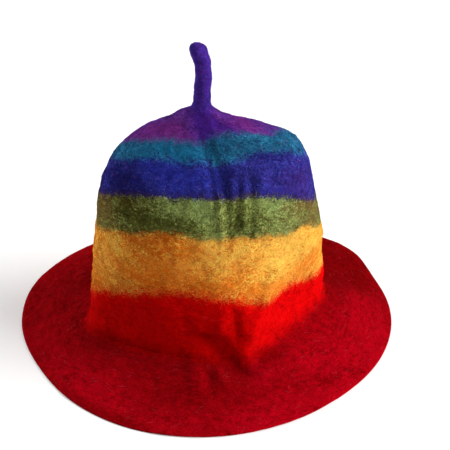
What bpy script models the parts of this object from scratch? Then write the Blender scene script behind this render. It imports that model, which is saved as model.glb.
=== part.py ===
"""A wet-felted sauna hat: crown, brim and stem in one seamless felt.

Metres, +Z up. The hat stands on its brim with the floor at z = 0, and its origin is the middle of
its outline on that floor. -Y is its front. The felt is one closed wall: an outer sheet from the
rim over the brim and crown to the stem's tip, and an inner sheet from the rim to the top of the
head hollow.
"""

from collections import namedtuple

import bpy
import numpy as np

# Driving dimensions, in metres
BRIM_WIDTH = 0.338
BRIM_DEPTH = 0.312
MOUTH_WIDTH = 0.220
MOUTH_DEPTH = 0.168
MOUTH_HEIGHT = 0.020
CROWN_HEIGHT = 0.192
STEM_LENGTH = 0.053
STEM_WIDTH = 0.0145
WALL = 0.003

# How finely the felt is divided. The steps are in rows of the CROWN table, and the head hollow
# ends at its row INNER_TOP, with its crest a share of WALL higher.
COLUMNS = 72
STEM_EVERY = 4
FRONT_CROWDING = 0.40
OUTER_STEP = 0.5
INNER_STEP = 1.0
INNER_TOP = 10
HOLLOW_CREST = 1.0

# Felt colour, from the brim
BRIM_RED = (0.42, 0.006, 0.012, 1.0)
ROUGHNESS = 0.95

# Level rings of the crown, from the mouth up. rise is a share of CROWN_HEIGHT, width, front and
# back are shares of half the mouth, and aside and forward move the ring by the same shares. turn
# swings the ring and skew its front corner, in degrees. fullness is 2 for an oval and near 1 for
# a lozenge.
Section = namedtuple("Section", "rise width front back turn skew fullness aside forward")
CROWN = (
    Section(0.000, 0.985, 1.000, 0.960, 14, 8, 1.20, -0.015, 0.12),
    Section(0.030, 0.970, 0.965, 0.925, 14, 8, 1.22, -0.015, 0.12),
    Section(0.100, 0.955, 0.945, 0.890, 14, 9, 1.25, -0.005, 0.11),
    Section(0.220, 0.930, 0.915, 0.850, 12, 9, 1.35, -0.005, 0.10),
    Section(0.360, 0.895, 0.860, 0.800, 9, 6, 1.50, -0.005, 0.09),
    Section(0.500, 0.850, 0.790, 0.740, 5, 3, 1.70, -0.007, 0.08),
    Section(0.640, 0.800, 0.690, 0.640, 2, 0, 1.90, -0.005, 0.07),
    Section(0.760, 0.730, 0.560, 0.470, 0, 0, 2.00, 0.005, 0.06),
    Section(0.850, 0.600, 0.425, 0.260, 0, 0, 2.00, 0.020, 0.06),
    Section(0.910, 0.420, 0.300, 0.135, 0, 0, 2.00, -0.005, 0.06),
    Section(0.950, 0.245, 0.190, 0.085, 0, 0, 2.00, -0.028, 0.06),
    Section(0.985, 0.125, 0.120, 0.075, 0, 0, 2.00, -0.042, 0.06),
)
END_ROUNDING = 0.16
CORNER_ROUNDING = 0.05

# The brim from rim to mouth. reach is 1 at the rim and 0 at the mouth, height a share of
# MOUTH_HEIGHT above the felt's own thickness. The rows of height 0 lie flat on the floor. The
# rim's lift grows with reach to the power CURL.
Slope = namedtuple("Slope", "reach height")
SLOPE = (
    Slope(1.00, 0.000),
    Slope(0.90, 0.000),
    Slope(0.78, 0.130),
    Slope(0.60, 0.340),
    Slope(0.40, 0.560),
    Slope(0.20, 0.780),
    Slope(0.08, 0.905),
    Slope(0.02, 0.970),
)
CURL = 3

# The rim round the hat, azimuth in degrees from +X. reach is a share of the brim's oval, and lift
# a share of MOUTH_HEIGHT by which the rim curls up at the back right.
Rim = namedtuple("Rim", "azimuth reach lift")
RIM = (
    Rim(0, 0.980, 0.00),
    Rim(18, 0.990, 0.05),
    Rim(32, 1.000, 0.38),
    Rim(48, 0.975, 0.38),
    Rim(75, 0.980, 0.20),
    Rim(100, 0.990, 0.00),
    Rim(125, 0.995, 0.00),
    Rim(150, 1.025, 0.00),
    Rim(166, 1.035, 0.00),
    Rim(182, 1.015, 0.00),
    Rim(208, 0.978, 0.00),
    Rim(228, 0.990, 0.00),
    Rim(250, 1.000, 0.00),
    Rim(270, 0.992, 0.00),
    Rim(292, 0.972, 0.00),
    Rim(315, 0.953, 0.00),
    Rim(338, 0.963, 0.00),
)

# Folds of the crown, from rise low to rise high, along three azimuths in degrees. height is a
# share of WALL, below 0 for a valley, and width a share of MOUTH_WIDTH.
Fold = namedtuple("Fold", "low high azimuth_low azimuth_mid azimuth_high height width")
CROWN_FOLDS = (
    Fold(0.66, 0.92, 277, 272, 254, -0.55, 0.022),
    Fold(0.55, 0.85, 282, 279, 271, 0.65, 0.028),
    Fold(0.57, 0.86, 286, 286, 279, -1.10, 0.032),
    Fold(0.55, 0.71, 293, 294, 294, -0.55, 0.018),
    Fold(0.58, 0.89, 300, 301, 291, 0.80, 0.032),
    Fold(0.58, 0.75, 304, 305, 306, -0.50, 0.020),
    Fold(0.70, 0.87, 326, 330, 336, 0.35, 0.032),
    Fold(0.08, 0.31, 258, 257, 256, -0.50, 0.028),
    Fold(0.10, 0.28, 277, 280, 283, 0.85, 0.028),
    Fold(0.10, 0.27, 289, 289, 288, -0.80, 0.024),
    Fold(-0.06, 0.08, 283, 281, 279, -1.70, 0.055),
    Fold(-0.04, 0.44, 292, 312, 328, 1.10, 0.042),
    Fold(0.02, 0.40, 344, 342, 344, -1.10, 0.120),
)

# Folds of the brim, from reach inner to reach outer, along two azimuths in degrees, with height
# and width as above.
BrimFold = namedtuple("BrimFold", "inner outer azimuth_inner azimuth_outer height width")
BRIM_FOLDS = (
    BrimFold(0.05, 0.48, 262, 269, 0.60, 0.035),
    BrimFold(0.10, 0.55, 272, 272, -0.50, 0.030),
    BrimFold(0.10, 0.46, 280, 289, 0.55, 0.030),
    BrimFold(-0.10, 0.40, 284, 293, -1.00, 0.038),
    BrimFold(-0.10, 0.85, 28, 14, -0.90, 0.080),
    BrimFold(0.05, 0.80, 225, 222, 0.50, 0.140),
)
FOLD_END = 0.25

# The stem from its root to its tip. rise is a share of STEM_LENGTH, lean and width are shares of
# STEM_WIDTH.
StemRing = namedtuple("StemRing", "rise lean width")
STEM = (
    StemRing(0.000, 0.00, 1.160),
    StemRing(0.060, 0.00, 1.000),
    StemRing(0.190, 0.04, 1.000),
    StemRing(0.320, 0.06, 0.950),
    StemRing(0.450, 0.12, 0.900),
    StemRing(0.580, 0.12, 0.950),
    StemRing(0.710, 0.03, 0.950),
    StemRing(0.840, -0.09, 1.000),
    StemRing(0.910, -0.14, 0.900),
    StemRing(0.960, -0.18, 0.680),
    StemRing(0.988, -0.20, 0.370),
)
TIP_LEAN = -0.21


def spline(rows, knots, at):
    """Smooth curve through table rows, read at the places at."""
    rows = np.asarray(rows, float)
    knots = np.asarray(knots, float)
    slope = np.gradient(rows, knots, axis=0)
    span = np.clip(np.searchsorted(knots, at, side="right") - 1, 0, len(knots) - 2)
    length = (knots[span + 1] - knots[span])[:, None]
    t = (at - knots[span])[:, None] / length
    ends = (1 + 2 * t) * (1 - t) ** 2 * rows[span] + t**2 * (3 - 2 * t) * rows[span + 1]
    pulls = t * (1 - t) ** 2 * slope[span] + t**2 * (t - 1) * slope[span + 1]
    return ends + length * pulls


def column_azimuths():
    """Azimuths of the mesh columns, closer together at the front, where the folds are."""
    even = np.arange(COLUMNS) * 2 * np.pi / COLUMNS
    front = 1.5 * np.pi
    return even - FRONT_CROWDING * np.sin(even - front)


def soft_share(value, rounding):
    """Size of a sine or cosine, with its turn at 0 rounded off and 1 kept at 1."""
    return (np.hypot(value, rounding) - rounding) / (np.hypot(1, rounding) - rounding)


def crown_grid(places, azimuths):
    """Points of the crown's level rings at places in the CROWN table."""
    rows = spline(CROWN, np.arange(len(CROWN)), places)
    rise, width, front, back, turn, skew, fullness, aside, forward = rows.T[:, :, None]
    swung = azimuths - np.radians(turn)
    swung = swung - np.radians(skew) * np.clip(-np.sin(swung), 0, None) ** 2
    across, along = np.cos(swung), np.sin(swung)
    half_width = width * MOUTH_WIDTH / 2
    half_depth = np.where(along < 0, front, back) * MOUTH_DEPTH / 2
    radius = (
        (soft_share(across, CORNER_ROUNDING) / half_width) ** fullness
        + (soft_share(along, END_ROUNDING) / half_depth) ** fullness
    ) ** (-1 / fullness)
    x = radius * np.cos(azimuths) + aside * MOUTH_WIDTH / 2
    y = radius * np.sin(azimuths) - forward * MOUTH_DEPTH / 2
    z = np.broadcast_to(MOUTH_HEIGHT + rise * CROWN_HEIGHT, x.shape)
    return np.stack([x, y, z], axis=-1)


def rim_outline(azimuths):
    """Plan points of the rim and its lift, from the RIM table carried round the circle."""
    table = np.array(RIM)
    turn = np.array([360.0, 0.0, 0.0])
    table = np.concatenate([table[-2:] - turn, table, table[:2] + turn])
    reach, lift = spline(table[:, 1:], table[:, 0], np.degrees(azimuths) % 360).T
    oval = np.hypot(np.cos(azimuths) / (BRIM_WIDTH / 2), np.sin(azimuths) / (BRIM_DEPTH / 2))
    plan = np.stack([np.cos(azimuths), np.sin(azimuths)], axis=-1) * (reach / oval)[:, None]
    return plan, np.clip(lift, 0, None)


def brim_grid(places, azimuths):
    """Points on the top of the brim at places in the SLOPE table, from the rim inwards."""
    reach, height = spline(SLOPE, np.arange(len(SLOPE)), places).T[:, :, None]
    rim, lift = rim_outline(azimuths)
    mouth = crown_grid(np.zeros(1), azimuths)[0, :, :2]
    plan = mouth + (rim - mouth) * reach[:, :, None]
    z = WALL + (MOUTH_HEIGHT - WALL) * height + MOUTH_HEIGHT * lift * reach**CURL
    return np.concatenate([plan, z[:, :, None]], axis=-1)


def fold_profile(along, across, width):
    """Share of a fold's height: a bell across it, with both ends run out smoothly."""
    run_out = np.clip(np.minimum(along, 1 - along) / FOLD_END, 0, 1)
    run_out = run_out**2 * (3 - 2 * run_out)
    return run_out * np.exp(-((across / (width * MOUTH_WIDTH)) ** 2))


def turned_by(azimuths, degrees):
    """Angle from an azimuth in degrees, from minus half a turn to half a turn."""
    return (azimuths - np.radians(degrees) + np.pi) % (2 * np.pi) - np.pi


def crown_folds(rise, azimuths, radius):
    """Height of the crown's folds over the smooth felt."""
    height = np.zeros(radius.shape)
    for fold in CROWN_FOLDS:
        along = (rise - fold.low) / (fold.high - fold.low)
        t = np.clip(along, 0, 1)
        path = (
            (1 - t) * (1 - 2 * t) * fold.azimuth_low
            + 4 * t * (1 - t) * fold.azimuth_mid
            + t * (2 * t - 1) * fold.azimuth_high
        )
        across = turned_by(azimuths, path) * radius
        height += fold.height * WALL * fold_profile(along, across, fold.width)
    return height


def brim_folds(reach, azimuths, radius):
    """Height of the brim's folds over the smooth felt."""
    height = np.zeros(radius.shape)
    for fold in BRIM_FOLDS:
        along = (reach - fold.inner) / (fold.outer - fold.inner)
        path = fold.azimuth_inner + (fold.azimuth_outer - fold.azimuth_inner) * along
        across = turned_by(azimuths, path) * radius
        height += fold.height * WALL * fold_profile(along, across, fold.width)
    return height


def outward(grid):
    """Unit normals of a grid of rows from the rim up and columns round the hat."""
    around = np.roll(grid, -1, axis=1) - np.roll(grid, 1, axis=1)
    upward = np.gradient(grid, axis=0)
    normal = np.cross(around, upward)
    return normal / np.linalg.norm(normal, axis=2, keepdims=True)


def felt_sheets(azimuths, step, last_place):
    """Both faces of the felt from the rim to a place in the CROWN table.

    The smooth felt is worked out first. The folds then move both faces along its normal, so the
    wall keeps its thickness. Folds that reach past the mouth go on over the other part: the brim
    counts as a rise just below 0, and the crown as a reach below 0.
    """
    brim = brim_grid(np.arange(len(SLOPE)), azimuths)
    crown = crown_grid(np.arange(0, last_place + step / 2, step), azimuths)
    grid = np.concatenate([brim, crown])
    radius = np.hypot(grid[:, :, 0], grid[:, :, 1])
    reach = np.array([[row.reach] for row in SLOPE])
    rise = (crown[:, :1, 2] - MOUTH_HEIGHT) / CROWN_HEIGHT
    below_mouth = -reach * MOUTH_HEIGHT / CROWN_HEIGHT
    height = crown_folds(np.concatenate([below_mouth, rise]), azimuths, radius)
    height += brim_folds(np.concatenate([reach, -rise]), azimuths, radius)
    normal = outward(grid)
    outer = grid + normal * height[:, :, None]
    inner = grid + normal * (height - WALL)[:, :, None]
    resting = np.array([row.height == 0 for row in SLOPE] + [False] * len(crown))
    outer[resting] = grid[resting]
    inner[resting] = grid[resting] - (0, 0, WALL)
    return outer, inner


def rim_edge(azimuths):
    """The rim's round edge, half a wall outside both faces."""
    edge = brim_grid(np.zeros(1), azimuths)[0]
    plan = edge[:, :2]
    edge[:, :2] = plan * (1 + WALL / 2 / np.linalg.norm(plan, axis=1, keepdims=True))
    edge[:, 2] -= WALL / 2
    return edge


def stem_rings(azimuths):
    """Rings of the stem and its tip, standing on the crown's last ring."""
    top = CROWN[-1]
    rise, lean, width = np.array(STEM).T[:, :, None]
    root = top.aside * MOUTH_WIDTH / 2, -top.forward * MOUTH_DEPTH / 2
    radius = width * STEM_WIDTH / 2
    x = root[0] + lean * STEM_WIDTH + radius * np.cos(azimuths)
    y = root[1] + radius * np.sin(azimuths)
    z = np.broadcast_to(MOUTH_HEIGHT + CROWN_HEIGHT + rise * STEM_LENGTH, x.shape)
    tip_height = MOUTH_HEIGHT + CROWN_HEIGHT + STEM_LENGTH
    tip = np.array([root[0] + TIP_LEAN * STEM_WIDTH, root[1], tip_height])
    return np.stack([x, y, z], axis=-1), tip


class FeltMesh:
    """Vertices and faces of one closed body, added ring by ring."""

    def __init__(self):
        self.points = []
        self.faces = []

    def ring(self, points):
        """Add a ring of points and return its vertex numbers."""
        first = len(self.points)
        self.points.extend(points)
        return list(range(first, len(self.points)))

    def band(self, low, high):
        """Join two rings, the faces looking outwards where high lies above low."""
        step = len(low) // len(high)
        for j, corner in enumerate(high):
            foot = [low[(j * step + k) % len(low)] for k in range(step + 1)]
            middle = step // 2
            next_corner = high[(j + 1) % len(high)]
            for k in range(step):
                self.faces.append((foot[k], foot[k + 1], corner if k < middle else next_corner))
            self.faces.append((corner, foot[middle], next_corner))

    def cap(self, ring, pole):
        """Close a ring that runs round an outward face with one point."""
        top = self.ring([pole])[0]
        for j, corner in enumerate(ring):
            self.faces.append((corner, ring[(j + 1) % len(ring)], top))

    def wall(self, rings):
        """Join rings one after another."""
        for low, high in zip(rings, rings[1:]):
            self.band(low, high)


def hat_mesh():
    """The whole felt as one closed mesh."""
    azimuths = column_azimuths()
    outer, _ = felt_sheets(azimuths, OUTER_STEP, len(CROWN) - 1)
    _, inner = felt_sheets(azimuths, INNER_STEP, INNER_TOP)
    stem, tip = stem_rings(azimuths[::STEM_EVERY])
    felt = FeltMesh()
    inside = [felt.ring(ring) for ring in inner[::-1]]
    outside = [felt.ring(ring) for ring in [rim_edge(azimuths), *outer, *stem]]
    felt.wall(inside + outside)
    felt.cap(outside[-1], tip)
    felt.cap(inside[0][::-1], inner[-1].mean(axis=0) + (0, 0, HOLLOW_CREST * WALL))
    points = np.array(felt.points)
    low, high = points.min(axis=0), points.max(axis=0)
    points -= ((low[0] + high[0]) / 2, (low[1] + high[1]) / 2, low[2])
    mesh = bpy.data.meshes.new("felt_hat")
    mesh.from_pydata(points.tolist(), [], felt.faces)
    mesh.shade_smooth()
    return mesh


def felt_material():
    """Matt red felt, the colour of the brim."""
    material = bpy.data.materials.new("felt")
    material.use_nodes = True
    shader = material.node_tree.nodes["Principled BSDF"]
    shader.inputs["Base Color"].default_value = BRIM_RED
    shader.inputs["Roughness"].default_value = ROUGHNESS
    shader.inputs["Metallic"].default_value = 0.0
    return material


def main():
    """Clear the scene and make the hat."""
    for old in list(bpy.data.objects):
        bpy.data.objects.remove(old)
    mesh = hat_mesh()
    mesh.materials.append(felt_material())
    hat = bpy.data.objects.new("felt_hat", mesh)
    bpy.context.scene.collection.objects.link(hat)


main()
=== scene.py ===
"""The looks of a wet-felted sauna hat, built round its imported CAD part.

Metres, +Z up, -Y the hat's front. The hat is one felt: FeltForm gives its shape, DyedBands where
each dyed wool ends, FeltSkin puts both on a fine grid, FeltShell and WoolFuzz make the pieces from
that grid, and FeltFinish and FuzzFinish dress them. Studio adds floor, lights and camera.
"""

from __future__ import annotations

import logging
import math
from dataclasses import dataclass
from enum import Enum
from functools import reduce
from typing import NamedTuple, TypeVar

import bpy
import numpy as np
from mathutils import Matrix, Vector

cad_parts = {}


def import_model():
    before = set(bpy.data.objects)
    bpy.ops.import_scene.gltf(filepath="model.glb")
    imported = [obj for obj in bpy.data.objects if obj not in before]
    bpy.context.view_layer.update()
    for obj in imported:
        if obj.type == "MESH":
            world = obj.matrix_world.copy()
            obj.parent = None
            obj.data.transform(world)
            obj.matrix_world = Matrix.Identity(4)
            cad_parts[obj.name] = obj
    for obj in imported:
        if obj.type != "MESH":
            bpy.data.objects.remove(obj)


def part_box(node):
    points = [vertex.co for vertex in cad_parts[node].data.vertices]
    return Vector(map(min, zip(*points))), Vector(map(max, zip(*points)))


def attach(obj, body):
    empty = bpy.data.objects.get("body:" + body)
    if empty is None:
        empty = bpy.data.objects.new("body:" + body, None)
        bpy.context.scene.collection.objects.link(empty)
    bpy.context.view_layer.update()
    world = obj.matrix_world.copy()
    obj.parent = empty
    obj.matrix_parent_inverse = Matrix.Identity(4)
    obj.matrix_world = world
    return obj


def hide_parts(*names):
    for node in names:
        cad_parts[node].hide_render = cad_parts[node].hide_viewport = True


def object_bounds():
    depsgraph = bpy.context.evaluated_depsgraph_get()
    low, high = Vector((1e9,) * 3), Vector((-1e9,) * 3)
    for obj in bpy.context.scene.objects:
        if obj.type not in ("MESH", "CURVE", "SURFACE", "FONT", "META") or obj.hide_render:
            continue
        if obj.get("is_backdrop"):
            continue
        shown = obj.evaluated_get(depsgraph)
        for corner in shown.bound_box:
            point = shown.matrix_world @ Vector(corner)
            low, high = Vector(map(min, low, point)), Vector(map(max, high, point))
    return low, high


Array = np.ndarray
Colour = tuple[float, float, float]
Socket = bpy.types.NodeSocket
Row = TypeVar("Row")
LOG = logging.getLogger("sauna_hat")
MM = 0.001
TINY = 1e-12
FULL_TURN = 2 * np.pi


class Section(NamedTuple):
    """A level ring of the crown: lengths are shares of half the mouth, turns are degrees."""

    rise: float
    width: float
    front: float
    back: float
    turn: float
    skew: float
    fullness: float
    aside: float
    forward: float


class Slope(NamedTuple):
    """A row of the brim: reach is 1 at the rim, height a share of the mouth's height."""

    reach: float
    height: float


class Rim(NamedTuple):
    """A place on the rim: reach is a share of the oval, lift of the mouth's height."""

    azimuth: float
    reach: float
    lift: float


class Fold(NamedTuple):
    """A fold of the crown from rise low to rise high. height is in walls, width in mouths."""

    low: float
    high: float
    azimuth_low: float
    azimuth_mid: float
    azimuth_high: float
    height: float
    width: float


class BrimFold(NamedTuple):
    """A fold of the brim from reach inner to reach outer, with height and width as in Fold."""

    inner: float
    outer: float
    azimuth_inner: float
    azimuth_outer: float
    height: float
    width: float


class StemRing(NamedTuple):
    """A ring of the stem: rise is a share of its length, lean and width of its width."""

    rise: float
    lean: float
    width: float


def rows_of(kind: type[Row], *rows: tuple[float, ...]) -> tuple[Row, ...]:
    """Rows of a table, each with its kind's names."""
    return tuple(kind(*row) for row in rows)


SECTIONS = rows_of(
    Section,
    (0.000, 0.985, 1.000, 0.960, 14, 8, 1.20, -0.015, 0.12),
    (0.030, 0.970, 0.965, 0.925, 14, 8, 1.22, -0.015, 0.12),
    (0.100, 0.955, 0.945, 0.890, 14, 9, 1.25, -0.005, 0.11),
    (0.220, 0.930, 0.915, 0.850, 12, 9, 1.35, -0.005, 0.10),
    (0.360, 0.895, 0.860, 0.800, 9, 6, 1.50, -0.005, 0.09),
    (0.500, 0.850, 0.790, 0.740, 5, 3, 1.70, -0.007, 0.08),
    (0.640, 0.800, 0.690, 0.640, 2, 0, 1.90, -0.005, 0.07),
    (0.760, 0.730, 0.560, 0.470, 0, 0, 2.00, 0.005, 0.06),
    (0.850, 0.600, 0.425, 0.260, 0, 0, 2.00, 0.020, 0.06),
    (0.910, 0.420, 0.300, 0.135, 0, 0, 2.00, -0.005, 0.06),
    (0.950, 0.245, 0.190, 0.085, 0, 0, 2.00, -0.028, 0.06),
    (0.985, 0.125, 0.120, 0.075, 0, 0, 2.00, -0.042, 0.06),
)
SLOPE = rows_of(
    Slope,
    (1.00, 0.000), (0.90, 0.000), (0.78, 0.130), (0.60, 0.340),
    (0.40, 0.560), (0.20, 0.780), (0.08, 0.905), (0.02, 0.970),
)
RIM = rows_of(
    Rim,
    (0, 0.980, 0.00), (18, 0.990, 0.05), (32, 1.000, 0.38), (48, 0.975, 0.38),
    (75, 0.980, 0.20), (100, 0.990, 0.00), (125, 0.995, 0.00), (150, 1.025, 0.00),
    (166, 1.035, 0.00), (182, 1.015, 0.00), (208, 0.978, 0.00), (228, 0.990, 0.00),
    (250, 1.000, 0.00), (270, 0.992, 0.00), (292, 0.972, 0.00), (315, 0.953, 0.00),
    (338, 0.963, 0.00),
)
CROWN_FOLDS = rows_of(
    Fold,
    (0.64, 0.96, 277, 272, 254, -0.65, 0.018), (0.50, 0.77, 281, 281, 279, 0.50, 0.014),
    (0.50, 0.95, 285, 286, 268, -0.80, 0.020), (0.50, 0.80, 287, 290, 294, 0.35, 0.014),
    (0.56, 0.84, 292, 295, 304, -0.50, 0.015), (0.55, 0.82, 298, 300, 304, 0.40, 0.014),
    (0.54, 0.83, 302, 304, 309, -0.45, 0.014), (0.55, 0.84, 308, 311, 317, 0.40, 0.026),
    (0.64, 0.85, 328, 331, 336, -0.25, 0.018), (0.62, 0.87, 334, 337, 342, 0.30, 0.026),
    (0.08, 0.31, 258, 257, 256, -0.50, 0.028), (0.11, 0.29, 276, 279, 282, 0.70, 0.024),
    (0.06, 0.28, 289, 288, 286, -0.95, 0.024), (-0.045, 0.14, 292, 276, 265, -2.45, 0.066),
    (-0.05, 0.44, 293, 304, 327, 1.20, 0.038), (0.02, 0.40, 344, 342, 344, -1.10, 0.120),
)
BRIM_FOLDS = rows_of(
    BrimFold,
    (0.05, 0.48, 262, 267, 0.85, 0.033), (0.10, 0.55, 271, 272, -0.60, 0.028),
    (0.04, 0.46, 276, 279, 0.85, 0.026), (-0.10, 0.36, 285, 294, -0.25, 0.020),
    (-0.10, 0.85, 28, 14, -0.90, 0.080), (0.05, 0.80, 225, 222, 0.50, 0.140),
)
STEM = rows_of(
    StemRing,
    (0.000, 0.00, 1.280), (0.060, 0.00, 1.120), (0.190, 0.03, 1.000),
    (0.320, 0.06, 0.970), (0.450, 0.12, 0.930), (0.580, 0.15, 0.900),
    (0.710, 0.09, 0.890), (0.840, -0.05, 0.950), (0.910, -0.12, 0.900),
    (0.960, -0.17, 0.690), (0.988, -0.20, 0.370),
)


def smooth_step(value: Array) -> Array:
    """Ease a share in and out: 3 t squared minus 2 t cubed, with t held from 0 to 1.

    Args:
        value: the share t, of any shape.

    Returns:
        The eased share.
    """
    t = np.clip(value, 0.0, 1.0)
    return t * t * (3 - 2 * t)


def spline(rows: Array, knots: Array, at: Array) -> Array:
    """Smooth curve through rows, a cubic between neighbours with the slope of both sides.

    Args:
        rows: one row of values per knot, of any further shape.
        knots: rising places of the rows.
        at: places to read.

    Returns:
        One row of values per place in at.
    """
    rows = np.asarray(rows, float)
    knots = np.asarray(knots, float)
    slope = np.gradient(rows, knots, axis=0)
    span = np.clip(np.searchsorted(knots, at, side="right") - 1, 0, len(knots) - 2)
    shape = (-1,) + (1,) * (rows.ndim - 1)
    length = (knots[span + 1] - knots[span]).reshape(shape)
    t = (at - knots[span]).reshape(shape) / length
    ends = (1 + 2 * t) * (1 - t) ** 2 * rows[span] + t**2 * (3 - 2 * t) * rows[span + 1]
    pulls = t * (1 - t) ** 2 * slope[span] + t**2 * (t - 1) * slope[span + 1]
    return ends + length * pulls


def round_table(table: tuple[NamedTuple, ...], azimuths: Array) -> Array:
    """Read a table of azimuths in degrees smoothly all the way round the hat.

    Args:
        table: rows whose first column is the azimuth, rising from 0 to under 360.
        azimuths: places to read, in radians.

    Returns:
        The other columns at each azimuth.
    """
    rows = np.array(table, float)
    turn = np.zeros(rows.shape[1])
    turn[0] = 360
    rows = np.concatenate([rows[-2:] - turn, rows, rows[:2] + turn])
    return spline(rows[:, 1:], rows[:, 0], np.degrees(azimuths) % 360)


def turned_by(azimuths: Array, degrees: Array | float) -> Array:
    """Angle from an azimuth in degrees, from minus half a turn to half a turn."""
    return (azimuths - np.radians(degrees) + np.pi) % FULL_TURN - np.pi


def outward(grid: Array) -> Array:
    """Unit normals of a grid: the cross product of its steps round and up the hat.

    Args:
        grid: rows from the rim up, columns round the hat, and a point in each cell.

    Returns:
        A normal for each point.
    """
    around = np.roll(grid, -1, axis=1) - np.roll(grid, 1, axis=1)
    upward = np.gradient(grid, axis=0)
    normal = np.cross(around, upward)
    return normal / (np.linalg.norm(normal, axis=2, keepdims=True) + TINY)


@dataclass(frozen=True)
class Lumps:
    """Smooth lumps: a sum of cosine waves in random directions, near one wavelength.

    Attributes:
        height: root mean square height.
        seed: choice of the random waves.
    """

    wavelength: float
    height: float
    seed: int
    waves: int = 36

    def at(self, points: Array) -> Array:
        """Height at points: the mean of cos(k . p + phase), scaled to the wanted height.

        Args:
            points: places, any shape ending in 3.

        Returns:
            The height at each place.
        """
        chance = np.random.default_rng(self.seed)
        ways = chance.normal(size=(self.waves, 3))
        ways /= np.linalg.norm(ways, axis=1, keepdims=True)
        ways *= (FULL_TURN / self.wavelength * chance.uniform(0.7, 1.4, self.waves))[:, None]
        phases = chance.uniform(0, FULL_TURN, self.waves)
        total = np.zeros(points.shape[:-1])
        for way, phase in zip(ways, phases):
            total += np.cos(points @ way + phase)
        return total * self.height * math.sqrt(2 / self.waves)


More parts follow.
